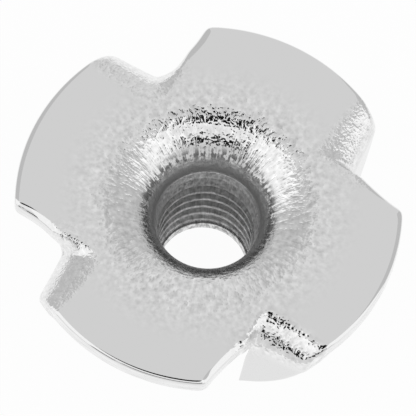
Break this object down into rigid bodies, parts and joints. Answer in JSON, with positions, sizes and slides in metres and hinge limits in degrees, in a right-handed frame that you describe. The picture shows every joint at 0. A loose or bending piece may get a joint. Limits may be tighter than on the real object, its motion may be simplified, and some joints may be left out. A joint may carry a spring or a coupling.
{
  "type": "tee nut",
  "caption": "Pressed sheet-steel tee nut: round notched flange, threaded barrel drawn out of its middle, and prongs folded down from the rim to bite into timber.",
  "frame": {"origin": "on the screw thread's axis, at the end face of the barrel, which is the lowest point", "axes": "+Z along the thread's axis from the barrel's end to the flange's top; +X square to the outer face of one prong; right-handed, metres"},
  "size_m": [0.017, 0.017, 0.0075],
  "materials": {
    "zinc_plated_steel": "bright zinc plating, lightly grained where the sheet is drawn"
  },
  "bodies": {
    "root": {"tee_nut": "zinc_plated_steel"}
  },
  "joints": []
}
